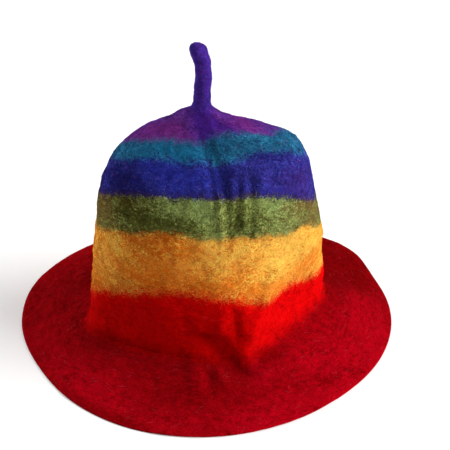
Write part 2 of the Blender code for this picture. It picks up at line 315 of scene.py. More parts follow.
@dataclass(frozen=True)
class FeltForm:
    """The hat's shape: the sizes and outline of its solid, with finer folds and a finer stem.

    The mouth is the line where the crown meets the brim. Heights of the crown start there, and
    the stem starts at the crown's top.

    Attributes:
        end_rounding: rounding of the lozenge's left and right corners.
        corner_rounding: rounding of its front and back corners.
        curl: power by which the rim's lift grows with reach.
        fold_end: share of a fold over which it runs out.
        tip_lean: lean of the stem's tip, in stem widths.
        rim_start: reach at which the felt begins to thin towards its rim.
        rim_thinning: how much thinner it is at the rim.
        rest_start: reach at which the brim begins to lie flat on the floor.
        rest_blend: reach from there to where it lies wholly flat.
        lump_fade: share of the lumps' height that goes there.
    """

    brim_width: float = 0.338
    brim_depth: float = 0.312
    mouth_width: float = 0.220
    mouth_depth: float = 0.168
    mouth_height: float = 0.020
    crown_height: float = 0.192
    stem_length: float = 0.053
    stem_width: float = 0.0145
    wall: float = 0.003
    end_rounding: float = 0.16
    corner_rounding: float = 0.05
    curl: int = 3
    fold_end: float = 0.25
    tip_lean: float = -0.21
    rim_start: float = 0.86
    rim_thinning: float = 0.0016
    rest_start: float = 0.80
    rest_blend: float = 0.10
    lump_fade: float = 0.6

    def soft_share(self, value: Array, rounding: float) -> Array:
        """Size of a sine or cosine, its turn at 0 rounded off by a hyperbola and 1 kept at 1."""
        return (np.hypot(value, rounding) - rounding) / (math.hypot(1, rounding) - rounding)

    def crown(self, places: Array, azimuths: Array) -> Array:
        """Level rings of the crown: a superellipse in polar form, swung and shifted.

        Args:
            places: rows to read, in rows of SECTIONS.
            azimuths: columns, in radians.

        Returns:
            Points, a row for each place.
        """
        rows = spline(SECTIONS, np.arange(len(SECTIONS)), places)
        rise, width, front, back, turn, skew, fullness, aside, forward = rows.T[:, :, None]
        swung = azimuths - np.radians(turn)
        swung = swung - np.radians(skew) * np.clip(-np.sin(swung), 0, None) ** 2
        across, along = np.cos(swung), np.sin(swung)
        half_width = width * self.mouth_width / 2
        half_depth = np.where(along < 0, front, back) * self.mouth_depth / 2
        radius = (
            (self.soft_share(across, self.corner_rounding) / half_width) ** fullness
            + (self.soft_share(along, self.end_rounding) / half_depth) ** fullness
        ) ** (-1 / fullness)
        x = radius * np.cos(azimuths) + aside * self.mouth_width / 2
        y = radius * np.sin(azimuths) - forward * self.mouth_depth / 2
        z = np.broadcast_to(self.mouth_height + rise * self.crown_height, x.shape)
        return np.stack([x, y, z], axis=-1)

    def brim(self, azimuths: Array) -> Array:
        """The brim's rows: straight lines in plan from the rim's oval to the mouth.

        Args:
            azimuths: columns, in radians.

        Returns:
            Points on top of the brim, a row for each row of SLOPE.
        """
        reach, height = np.array(SLOPE).T[:, :, None]
        oval_reach, lift = round_table(RIM, azimuths).T
        half_width, half_depth = self.brim_width / 2, self.brim_depth / 2
        oval = np.hypot(np.cos(azimuths) / half_width, np.sin(azimuths) / half_depth)
        rim = np.stack([np.cos(azimuths), np.sin(azimuths)], axis=-1) * (oval_reach / oval)[:, None]
        mouth = self.crown(np.zeros(1), azimuths)[0, :, :2]
        plan = mouth + (rim - mouth) * reach[:, :, None]
        curl = self.mouth_height * np.clip(lift, 0, None) * reach**self.curl
        z = self.wall + (self.mouth_height - self.wall) * height + curl
        return np.concatenate([plan, z[:, :, None]], axis=-1)

    @property
    def stem_root(self) -> Array:
        """Where the stem's axis starts, at the top of the crown."""
        top = SECTIONS[-1]
        x, y = top.aside * self.mouth_width / 2, -top.forward * self.mouth_depth / 2
        return np.array([x, y, self.mouth_height + self.crown_height])

    def stem(self, azimuths: Array) -> Array:
        """Round rings of the stem, leaning as STEM says.

        Args:
            azimuths: columns, in radians.

        Returns:
            Points, a row for each row of STEM.
        """
        x, y, z = self.stem_root
        rise, lean, width = np.array(STEM).T[:, :, None]
        radius = width * self.stem_width / 2
        x = x + lean * self.stem_width + radius * np.cos(azimuths)
        y = y + radius * np.sin(azimuths)
        z = np.broadcast_to(z + rise * self.stem_length, x.shape)
        return np.stack([x, y, z], axis=-1)

    def tip(self) -> Array:
        """The point that closes the stem."""
        return self.stem_root + (self.tip_lean * self.stem_width, 0.0, self.stem_length)

    def fold(self, fold: Fold | BrimFold, along: Array, across: Array) -> Array:
        """Height of one fold: a bell curve across it, with both ends run out smoothly."""
        run_out = smooth_step(np.minimum(along, 1 - along) / self.fold_end)
        bell = run_out * np.exp(-((across / (fold.width * self.mouth_width)) ** 2))
        return fold.height * self.wall * bell

    def folds(self, rise: Array, reach: Array, azimuths: Array, radius: Array) -> Array:
        """Height of all folds, each along a path that bends through its azimuths.

        Args:
            rise: the crown's rise for each row, just below 0 on the brim.
            reach: the brim's reach for each row, below 0 on the crown.
            azimuths: columns, in radians.
            radius: distance of each point from the hat's axis.

        Returns:
            Height over the smooth felt, along its normal.
        """
        height = np.zeros(radius.shape)
        for fold in CROWN_FOLDS:
            along = (rise - fold.low) / (fold.high - fold.low)
            t = np.clip(along, 0, 1)
            path = (1 - t) * (1 - 2 * t) * fold.azimuth_low
            path = path + 4 * t * (1 - t) * fold.azimuth_mid
            path = path + t * (2 * t - 1) * fold.azimuth_high
            height += self.fold(fold, along, turned_by(azimuths, path) * radius)
        for fold in BRIM_FOLDS:
            along = (reach - fold.inner) / (fold.outer - fold.inner)
            path = fold.azimuth_inner + (fold.azimuth_outer - fold.azimuth_inner) * along
            height += self.fold(fold, along, turned_by(azimuths, path) * radius)
        return height


class BandEdge(NamedTuple):
    """How high the five band edges above the mouth lie at one azimuth, as rises of the crown."""

    azimuth: float
    gold: float
    green: float
    blue: float
    teal: float
    purple: float


BAND_EDGES = rows_of(
    BandEdge,
    (8, 0.200, 0.450, 0.598, 0.775, 0.880), (45, 0.215, 0.465, 0.625, 0.785, 0.875),
    (90, 0.230, 0.480, 0.640, 0.795, 0.880), (135, 0.215, 0.470, 0.635, 0.785, 0.870),
    (172, 0.190, 0.465, 0.625, 0.765, 0.820), (190, 0.175, 0.480, 0.640, 0.795, 0.872),
    (208, 0.256, 0.538, 0.695, 0.843, 0.905), (225, 0.298, 0.565, 0.716, 0.852, 0.911),
    (245, 0.338, 0.586, 0.720, 0.843, 0.908), (262, 0.337, 0.565, 0.720, 0.846, 0.909),
    (278, 0.322, 0.564, 0.714, 0.840, 0.920), (290, 0.301, 0.564, 0.716, 0.845, 0.925),
    (302, 0.268, 0.556, 0.722, 0.853, 0.928), (314, 0.244, 0.548, 0.716, 0.866, 0.930),
    (326, 0.245, 0.516, 0.694, 0.870, 0.928), (338, 0.238, 0.530, 0.654, 0.860, 0.922),
    (350, 0.195, 0.470, 0.605, 0.815, 0.900),
)


class Wisp(NamedTuple):
    """A soft patch of other wool, for some tints partly painted light and shade: its middle, its
    size in millimetres and its strength.
    """

    azimuth: float
    rise: float
    wide: float
    tall: float
    strength: float


class Tint(Enum):
    """What a wisp does to the felt that it lies in. Violet, magenta and olive are wools of their
    own;
    the light tint is partly paler wool and partly painted light, and the orange and deep tints are
    partly other wool and partly painted shade.
    """

    VIOLET = "violet"
    MAGENTA = "magenta"
    OLIVE = "olive"
    # partly paler wool, partly painted light on lit sides and the lit rim
    LIGHT = "light"
    # partly orange wool, partly painted shade on the gold's shaded front-left
    ORANGE = "orange"
    # partly darker wool, mostly painted shade in shaded places and creases
    DEEP = "deep"


WISPS: dict[Tint, tuple[Wisp, ...]] = {
    Tint.VIOLET: rows_of(
        Wisp,
        (290, 0.985, 24, 18, 1.0), (276, 0.940, 17, 20, 1.0), (266, 0.905, 14, 12, 0.4),
        (90, 0.965, 40, 14, 0.7),
    ),
    Tint.MAGENTA: rows_of(
        Wisp,
        (205, 0.935, 34, 14, 0.9), (196, 0.895, 24, 10, 0.8), (350, 0.935, 36, 16, 0.8),
        (60, 0.930, 40, 14, 0.7), (338, 0.720, 32, 20, 0.8), (300, 0.770, 16, 14, 0.3),
    ),
    Tint.OLIVE: rows_of(
        Wisp,
        (194, 0.600, 34, 34, 0.9), (210, 0.685, 26, 10, 0.7), (350, 0.540, 44, 34, 0.7),
        (10, 0.520, 50, 34, 0.8), (174, 0.550, 40, 34, 0.8), (90, 0.560, 60, 20, 0.5),
        (342, 0.630, 24, 12, 0.9),
    ),
    # Partly paler wool, partly painted light: the brim's lit lower right rim and its front and left,
    # the gold's right side, a painted sheen on the gold's left limb, and the blue and teal on the
    # left.
    Tint.LIGHT: rows_of(
        Wisp,
        (248, 0.690, 26, 16, 0.7), (265, 0.672, 18, 16, 0.8), (320, 0.665, 22, 16, 0.8),
        (324, 0.640, 18, 12, 0.5), (208, 0.400, 22, 16, 0.7), (212, 0.480, 12, 12, 0.7),
        (290, 0.470, 22, 16, 0.8), (275, 0.515, 16, 16, 1.0), (250, 0.450, 20, 9, 0.6),
        (236, 0.800, 50, 16, 0.8), (228, 0.885, 34, 15, 1.0), (314, 0.500, 28, 16, 0.9),
        (330, 0.400, 40, 46, 0.9), (325, 0.280, 20, 16, 0.6), (80, 0.420, 60, 30, 0.5),
        (345, 0.440, 60, 34, 0.7), (292, -0.095, 60, 24, 0.8), (258, -0.090, 50, 20, 0.5),
        (226, -0.080, 60, 24, 0.7), (315, -0.098, 50, 12, 1.0), (340, -0.095, 50, 16, 1.0),
        (330, -0.060, 60, 34, 0.7), (355, -0.060, 60, 30, 0.7), (215, -0.070, 60, 20, 0.3),
        (297, -0.030, 16, 14, 0.8),
    ),
    # Partly orange streaks of the gold, partly painted shade: deeper orange across the gold's shaded
    # front-left middle.
    Tint.ORANGE: rows_of(
        Wisp,
        (258, 0.535, 24, 8, 0.8), (272, 0.418, 40, 10, 0.5), (291, 0.459, 14, 8, 0.6),
        (240, 0.400, 50, 10, 0.5), (350, 0.300, 30, 24, 0.5), (236, 0.352, 60, 12, 1.0),
        (233, 0.440, 30, 16, 0.7), (250, 0.515, 40, 10, 0.8), (245, 0.400, 36, 26, 0.9),
        (262, 0.360, 26, 20, 0.7), (300, 0.300, 40, 12, 0.8), (270, 0.352, 44, 12, 1.0),
        (322, 0.270, 24, 10, 0.8), (342, 0.290, 22, 16, 0.7), (120, 0.400, 60, 24, 0.5),
    ),
    # Mostly painted shade, partly darker wool: the brim behind the crown at back right and back
    # left, its lower-left rim and front, the lower crown's red on its shaded left and front, the
    # pits at the front corner by the mouth, and shaded creases and sides of the gold, green, blue
    # and teal.
    Tint.DEEP: rows_of(
        Wisp,
        (242, 0.612, 36, 10, 0.9), (226, 0.612, 38, 15, 0.9), (300, 0.605, 26, 14, 0.7),
        (209, 0.735, 36, 20, 0.8), (291, 0.785, 20, 20, 0.5), (294, 0.670, 14, 12, 0.6),
        (228, 0.520, 34, 8, 0.8), (318, 0.885, 60, 14, 0.8), (190, 0.700, 40, 20, 0.6),
        (205, 0.140, 60, 44, 1.0), (235, 0.140, 60, 44, 1.0), (262, 0.130, 40, 44, 1.0),
        (284, 0.110, 22, 40, 0.8), (120, 0.130, 120, 44, 0.8), (30, -0.040, 50, 34, 1.0),
        (50, -0.080, 60, 30, 1.0), (25, -0.080, 50, 26, 0.9), (150, -0.060, 90, 40, 0.6),
        (235, -0.100, 60, 8, 0.6), (262, -0.045, 60, 26, 0.5), (308, -0.012, 14, 12, 0.7),
        (274, 0.020, 16, 16, 1.0),
    ),
}


@dataclass(frozen=True)
class DyedBands:
    """Where each dyed wool lies on the felt, as distances along it in millimetres."""

    form: FeltForm

    def edge_distances(self, skin: FeltSkin) -> Array:
        """Signed distance up the felt from each band edge, from the mouth to the stem.

        Args:
            skin: a face of the felt.

        Returns:
            Seven distances per point in millimetres: mouth, gold, green, blue, teal, purple and
            violet, which is the stem's root.
        """
        rise, length = skin.rise, skin.length
        rises = round_table(BAND_EDGES, skin.azimuths)
        rises = np.pad(rises, ((0, 0), (1, 1)), constant_values=(0.0, 1.0))
        distances = np.empty(rise.shape + (rises.shape[1],))
        for j, edges in enumerate(rises):
            at_edges = np.interp(edges, rise[:, j], length[:, j])
            at_edges += np.clip(edges - rise[-1, j], 0, None) * self.form.crown_height
            distances[:, j] = (length[:, j, None] - at_edges) / MM
        return distances

    def wisp_shares(self, tint: Tint, skin: FeltSkin) -> Array:
        """Share of a tint at each grid point: the largest of its wisps' bell curves. The light,
        orange and deep tints are partly painted light and shade.

        Args:
            tint: which wool.
            skin: a face of the felt.

        Returns:
            The share, from 0 to 1.
        """
        rise, length, azimuths = skin.rise, skin.length, skin.azimuths
        share = np.zeros(rise.shape)
        for wisp in WISPS[tint]:
            column = int(np.argmin(np.abs(turned_by(azimuths, wisp.azimuth))))
            level = np.interp(wisp.rise, rise[:, column], length[:, column])
            up = (length - level) / (wisp.tall * MM)
            across = turned_by(azimuths, wisp.azimuth) * skin.radius / (wisp.wide * MM)
            share = np.maximum(share, wisp.strength * np.exp(-(up**2) - across**2))
        return share


@dataclass(frozen=True)
class GridPlan:
    """How finely the felt's grid is divided, and where its rows lie on the bake map.

    Attributes:
        crowding: how much closer the columns lie at the front, where the folds are.
        stem_every: the stem takes one column in so many.
        inner_every: the inner face takes one column in so many.
        hollow_top: row of SECTIONS where the hollow ends.
        edge_rows: rows round the rim's edge.
        inner_level: level on the bake map where the inner face ends.
        outer_level: level where the outer face starts.
        top_level: level where the outer face ends.
    """

    columns: int = 360
    crowding: float = 0.40
    brim_rows: int = 56
    crown_rows: int = 146
    stem_rows: int = 44
    stem_every: int = 4
    inner_every: int = 2
    inner_brim_rows: int = 26
    inner_crown_rows: int = 60
    hollow_top: int = 10
    edge_rows: int = 5
    inner_level: float = 0.28
    outer_level: float = 0.30
    top_level: float = 0.99

    def azimuths(self, every: int = 1) -> Array:
        """Azimuths of the columns, closer at the front by a share of the sine."""
        even = np.arange(0, self.columns, every) * FULL_TURN / self.columns
        return even - self.crowding * np.sin(even - 1.5 * np.pi)


LUMPS = (
    Lumps(0.055, 0.00055, 11),
    Lumps(0.024, 0.00034, 12),
    Lumps(0.011, 0.00019, 13),
    Lumps(0.0055, 0.00010, 14),
)


@dataclass
class FeltSkin:
    """One face of the felt on a grid of rows from the rim up and columns round the hat.

    Attributes:
        points: a point per cell, in metres.
        normals: outward unit normals.
        azimuths: columns, in radians.
        rise: the crown's rise at each point, below 0 on the brim and over 1 on the stem.
        reach: the brim's reach for each row, below 0 on the crown.
        length: length along the felt from the rim, in metres.
    """

    points: Array
    normals: Array
    azimuths: Array
    rise: Array
    reach: Array
    length: Array

    @property
    def radius(self) -> Array:
        """Distance of each point from the hat's axis."""
        return np.hypot(self.points[:, :, 0], self.points[:, :, 1])


class HatSurfaces:
    """Works out the outer and inner faces of the felt from its form."""

    def __init__(self, form: FeltForm, plan: GridPlan) -> None:
        """Keep the form and the grid's plan."""
        self.form = form
        self.plan = plan

    def smooth_rows(self, azimuths: Array, brim_rows: int, crown_rows: int, stem_rows: int,
                    crown_top: int) -> tuple[Array, Array, Array]:
        """The felt before folds: a spline up each column through the form's own rings.

        Args:
            azimuths: columns, in radians.
            brim_rows: rows from the rim to the mouth.
            crown_rows: rows from the mouth to the crown's top.
            stem_rows: rows of the stem, or 0 for none.
            crown_top: last ring, in rows of SECTIONS.

        Returns:
            Points, and the rise and reach of each row.
        """
        form = self.form
        places = np.arange(2 * crown_top + 1) / 2
        crown = form.crown(places, azimuths)
        rings = [form.brim(azimuths), crown]
        reach = [row.reach for row in SLOPE]
        height = -form.mouth_height / form.crown_height
        rise = [row.reach * height for row in SLOPE]
        crown_rise = (crown[:, 0, 2] - form.mouth_height) / form.crown_height
        rise.extend(crown_rise)
        reach.extend(-crown_rise)
        if stem_rows:
            rings.append(form.stem(azimuths))
            above = [1 + row.rise * form.stem_length / form.crown_height for row in STEM]
            rise.extend(above)
            reach.extend(-value for value in above)
        control = np.concatenate(rings)
        step = np.linalg.norm(np.diff(control, axis=0), axis=2).mean(axis=1)
        knots = np.concatenate([[0.0], np.cumsum(step)])
        mouth, top = knots[len(SLOPE)], knots[len(SLOPE) + len(places) - 1]
        at = [np.linspace(0, mouth, brim_rows, endpoint=False)]
        at.append(np.linspace(mouth, top, crown_rows))
        if stem_rows:
            at.append(np.linspace(top, knots[-1], stem_rows + 1)[1:])
        at = np.concatenate(at)
        return spline(control, knots, at), np.interp(at, knots, rise), np.interp(at, knots, reach)

    def face(self, azimuths: Array, rows: tuple[int, int, int], crown_top: int,
             lumps: tuple[Lumps, ...], depth: float) -> FeltSkin:
        """One face of the felt: the smooth rows, moved along their normals by folds and lumps.

        The rows that rest on the floor stay flat: there the move is straight down, and lumps
        fade out.

        Args:
            azimuths: columns, in radians.
            rows: rows on the brim, crown and stem.
            crown_top: last ring, in rows of SECTIONS.
            lumps: fine relief to add.
            depth: how far under the outer face this one lies.

        Returns:
            The face.
        """
        smooth, rise, reach = self.smooth_rows(azimuths, *rows, crown_top)
        normal = outward(smooth)
        radius = np.hypot(smooth[:, :, 0], smooth[:, :, 1])
        form = self.form
        height = form.folds(rise[:, None], reach[:, None], azimuths, radius)
        resting = smooth_step((reach[:, None, None] - form.rest_start) / form.rest_blend)
        fade = 1 - resting[:, :, 0] * (1.0 if depth else form.lump_fade)
        for layer in lumps:
            height = height + layer.at(smooth) * fade
        way = normal * (1 - resting) + np.array([0, 0, 1.0]) * resting
        way /= np.linalg.norm(way, axis=2, keepdims=True)
        points = smooth + way * height[:, :, None] - way * depth
        points[:, :, 2] = np.maximum(points[:, :, 2], form.wall - depth)
        if not depth:
            near_rim = np.clip((reach - form.rim_start) / (1 - form.rim_start), 0, 1)
            points[:, :, 2] -= form.rim_thinning * near_rim[:, None] ** 2
        step = np.linalg.norm(np.diff(points, axis=0), axis=2)
        length = np.concatenate([np.zeros((1, len(azimuths))), np.cumsum(step, axis=0)])
        rise_grid = np.broadcast_to(rise[:, None], radius.shape)
        return FeltSkin(points, outward(points), azimuths, rise_grid, reach, length)

    def outer(self) -> FeltSkin:
        """The outer face, from the rim to the stem's tip."""
        rows = (self.plan.brim_rows, self.plan.crown_rows, self.plan.stem_rows)
        return self.face(self.plan.azimuths(), rows, len(SECTIONS) - 1, LUMPS, 0.0)

    def inner(self) -> FeltSkin:
        """The inner face, from the rim to the top of the hollow."""
        rows = (self.plan.inner_brim_rows, self.plan.inner_crown_rows, 0)
        azimuths = self.plan.azimuths(self.plan.inner_every)
        return self.face(azimuths, rows, self.plan.hollow_top, LUMPS[:2], self.form.wall)


def store_vectors(mesh: bpy.types.Mesh, name: str, vectors: Array) -> None:
    """Store a named vector for each vertex of a mesh."""
    layer = mesh.attributes.new(name, "FLOAT_VECTOR", "POINT")
    layer.data.foreach_set("vector", vectors.astype(np.float32).ravel())


def store_bake_map(mesh: bpy.types.Mesh, places: Array) -> None:
    """Store the bake map of a mesh: a place for each corner of its faces."""
    layer = mesh.uv_layers.new(name="OFBake")
    layer.data.foreach_set("uv", places.astype(np.float32).ravel())


def linked(name: str, data: bpy.types.ID) -> bpy.types.Object:
    """An object of the scene with the given mesh, light or camera."""
    obj = bpy.data.objects.new(name, data)
    bpy.context.scene.collection.objects.link(obj)
    return obj


class ClosedBody:
    """One closed mesh with dyes and a bake map, added ring by ring.

    Attributes:
        seam_room: share of the bake map's width that the rings take, short of its end.
    """

    seam_room = 0.995

    def __init__(self) -> None:
        """Start empty."""
        self.points: list[Array] = []
        self.places: list[Array] = []
        self.dyes: dict[str, list[Array]] = {}
        self.triangles: list[Array] = []
        self.quads: list[Array] = []
        self.count = 0

    def ring(self, points: Array, level: float, dyes: dict[str, Array]) -> Array:
        """Add a ring of vertices, spread evenly across the bake map at one level.

        A ring of one vertex is a pole, whose place across the map has no number yet.

        Args:
            points: a point per vertex.
            level: height on the bake map.
            dyes: named vectors, a row per vertex.

        Returns:
            The new vertex numbers.
        """
        count = len(points)
        across = np.arange(count) / count if count > 1 else np.full(1, np.nan)
        self.points.append(points)
        self.places.append(np.stack([across, np.full(count, level)], axis=1))
        for name, vectors in dyes.items():
            self.dyes.setdefault(name, []).append(vectors)
        self.count += count
        return np.arange(self.count - count, self.count)

    def band(self, low: Array, high: Array) -> None:
        """Join two rings, the faces looking out where high lies above low.

        Equal rings take quads. Otherwise one ring has a whole number k of times as many
        vertices, and each vertex of the coarse ring fans out to k of the fine one.

        Args:
            low: vertex numbers of the lower ring.
            high: vertex numbers of the upper ring.
        """
        if len(low) == len(high):
            self.quads.append(np.stack([low, np.roll(low, -1), np.roll(high, -1), high], axis=1))
            return
        fine, coarse = (low, high) if len(low) > len(high) else (high, low)
        k = len(fine) // len(coarse)
        place = np.arange(len(fine))
        owner = np.where(place % k < k // 2, place // k, place // k + 1) % len(coarse)
        fans = [fine, np.roll(fine, -1), coarse[owner]]
        gaps = [coarse, fine[np.arange(len(coarse)) * k + k // 2], np.roll(coarse, -1)]
        for faces in (fans, gaps):
            first, second, third = faces
            turned = [first, third, second] if fine is high else faces
            self.triangles.append(np.stack(turned, axis=1))

    def cap(self, ring: Array, pole: int) -> None:
        """Close a ring that runs round an outward face with one vertex."""
        closing = [ring, np.roll(ring, -1), np.full(len(ring), pole)]
        self.triangles.append(np.stack(closing, axis=1))

    def build(self, name: str) -> bpy.types.Object:
        """Make the object, with its dyes and its bake map.

        Args:
            name: name of the piece.

        Returns:
            The object, linked to the scene.
        """
        faces = [face for block in self.quads + self.triangles for face in block.tolist()]
        mesh = bpy.data.meshes.new(name)
        mesh.from_pydata(np.concatenate(self.points).tolist(), [], faces)
        for dye, blocks in self.dyes.items():
            store_vectors(mesh, dye, np.concatenate(blocks))
        places = np.concatenate(self.places)
        corners = [self.face_places(np.concatenate(blocks), places)
                   for blocks in (self.quads, self.triangles)]
        store_bake_map(mesh, np.concatenate(corners))
        mesh.shade_smooth()
        return linked(name, mesh)

    def face_places(self, faces: Array, places: Array) -> Array:
        """Places of the faces' corners on the bake map.

        A pole lies midway between its neighbours, and a face that crosses the seam goes on past
        the last column.

        Args:
            faces: vertex numbers, a row per face.
            places: places of the vertices.

        Returns:
            A place for each corner.
        """
        across = places[faces, 0]
        middle = np.nanmean(across, axis=1, keepdims=True)
        across = np.where(np.isnan(across), middle, across)
        span = across.max(axis=1) - across.min(axis=1)
        wraps = (span > 0.5)[:, None] & (across < 0.5)
        across = (across + wraps) * self.seam_room
        return np.stack([across, places[faces, 1]], axis=-1).reshape(-1, 2)


def picked(dyes: dict[str, Array], *cells: int | slice) -> dict[str, Array]:
    """The named vectors of some cells of a face."""
    return {name: grid[cells] for name, grid in dyes.items()}


class FeltShell:
    """The hat's felt as one closed body: inner face, rim, outer face and stem.

    Attributes:
        girth: radius in metres of the circle on which a noise runs round the hat.
    """

    girth = 0.03

    def __init__(self, surfaces: HatSurfaces, bands: DyedBands) -> None:
        """Work out both faces and the dyes that lie on them."""
        self.form = surfaces.form
        self.plan = surfaces.plan
        self.bands = bands
        self.outer = surfaces.outer()
        self.inner = surfaces.inner()
        self.outer_dyes = self.dyes(self.outer, 0.0)
        self.inner_dyes = self.dyes(self.inner, 1.0)

    def dyes(self, skin: FeltSkin, inside: float) -> dict[str, Array]:
        """Named vectors that the finish reads, for each point of a face.

        band_low, band_mid and band_top hold the distances to the edges, band_top also inside
        and the deep wisps, which are mostly painted shade, and wisp_a and wisp_b the other wisps,
        whose light and orange ones are partly painted light and shade. drift is a place where a
        noise runs stretched round the hat.

        Args:
            skin: the face.
            inside: 1 on the inner face.

        Returns:
            A grid of vectors for each name.
        """
        mouth, gold, green, blue, teal, purple, violet = np.moveaxis(
            self.bands.edge_distances(skin), -1, 0
        )
        wisp = {tint: self.bands.wisp_shares(tint, skin) for tint in Tint}
        x, y = self.girth * np.cos(skin.azimuths), self.girth * np.sin(skin.azimuths)
        grids = {
            "band_low": (mouth, gold, green),
            "band_mid": (blue, teal, purple),
            # third: the deep wisps, mostly painted shade
            "band_top": (violet, inside, wisp[Tint.DEEP]),
            "wisp_a": (wisp[Tint.VIOLET], wisp[Tint.MAGENTA], wisp[Tint.OLIVE]),
            # first two: the light and orange wisps, partly painted light and shade
            "wisp_b": (wisp[Tint.LIGHT], wisp[Tint.ORANGE], inside),
            "drift": (x, y, skin.length),
        }
        return {name: np.stack(np.broadcast_arrays(*three), axis=-1)
                for name, three in grids.items()}

    def rim_rows(self) -> Array:
        """Rings round the rim's edge: a half circle from the inner face to the outer one."""
        top = self.outer.points[0]
        thickness = self.form.wall - self.form.rim_thinning
        middle = (top + (top - (0, 0, thickness))) / 2
        out = top[:, :2] / np.linalg.norm(top[:, :2], axis=1, keepdims=True)
        angles = np.pi * np.arange(1, self.plan.edge_rows + 1) / (self.plan.edge_rows + 1)
        rows = np.repeat(middle[None], len(angles), axis=0)
        rows[:, :, :2] += out * thickness / 2 * np.sin(angles)[:, None, None]
        rows[:, :, 2] -= thickness / 2 * np.cos(angles)[:, None]
        return rows

    def build(self, name: str) -> bpy.types.Object:
        """Join all rings into one closed body.

        Args:
            name: name of the piece.

        Returns:
            The object.
        """
        body = ClosedBody()
        plan, inner, outer = self.plan, self.inner, self.outer
        crest = inner.points[-1:].mean(axis=1) + (0, 0, self.form.wall)
        crest_dyes = {key: grid[-1:].mean(axis=1) for key, grid in self.inner_dyes.items()}
        crest_number = body.ring(crest, 0.0, crest_dyes)[0]
        rings = []
        count = len(inner.points)
        for i in reversed(range(count)):
            level = plan.inner_level * (count - i) / (count + 1)
            rings.append(body.ring(inner.points[i], level, picked(self.inner_dyes, i)))
        edge_level = plan.outer_level - plan.inner_level
        for i, row in enumerate(self.rim_rows()):
            level = plan.inner_level + edge_level * i / plan.edge_rows
            rings.append(body.ring(row, level, picked(self.outer_dyes, 0)))
        for i, share in enumerate(outer.length.mean(axis=1) / outer.length[-1].mean()):
            every = 1 if i < plan.brim_rows + plan.crown_rows else plan.stem_every
            level = plan.outer_level + (plan.top_level - plan.outer_level) * share
            dyes = picked(self.outer_dyes, i, slice(None, None, every))
            rings.append(body.ring(outer.points[i, ::every], level, dyes))
        tip_dyes = picked(self.outer_dyes, -1, slice(1))
        tip_number = body.ring(self.form.tip()[None], 1.0, tip_dyes)[0]
        for low, high in zip(rings, rings[1:]):
            body.band(low, high)
        body.cap(rings[-1], tip_number)
        body.cap(rings[0][::-1], crest_number)
        return body.build(name)


@dataclass(frozen=True)
class FuzzPatch:
    """A stretch of the felt, from rise low to rise high, whose stray fibres are one piece."""

    name: str
    low: float
    high: float
    fibres: int
    seed: int


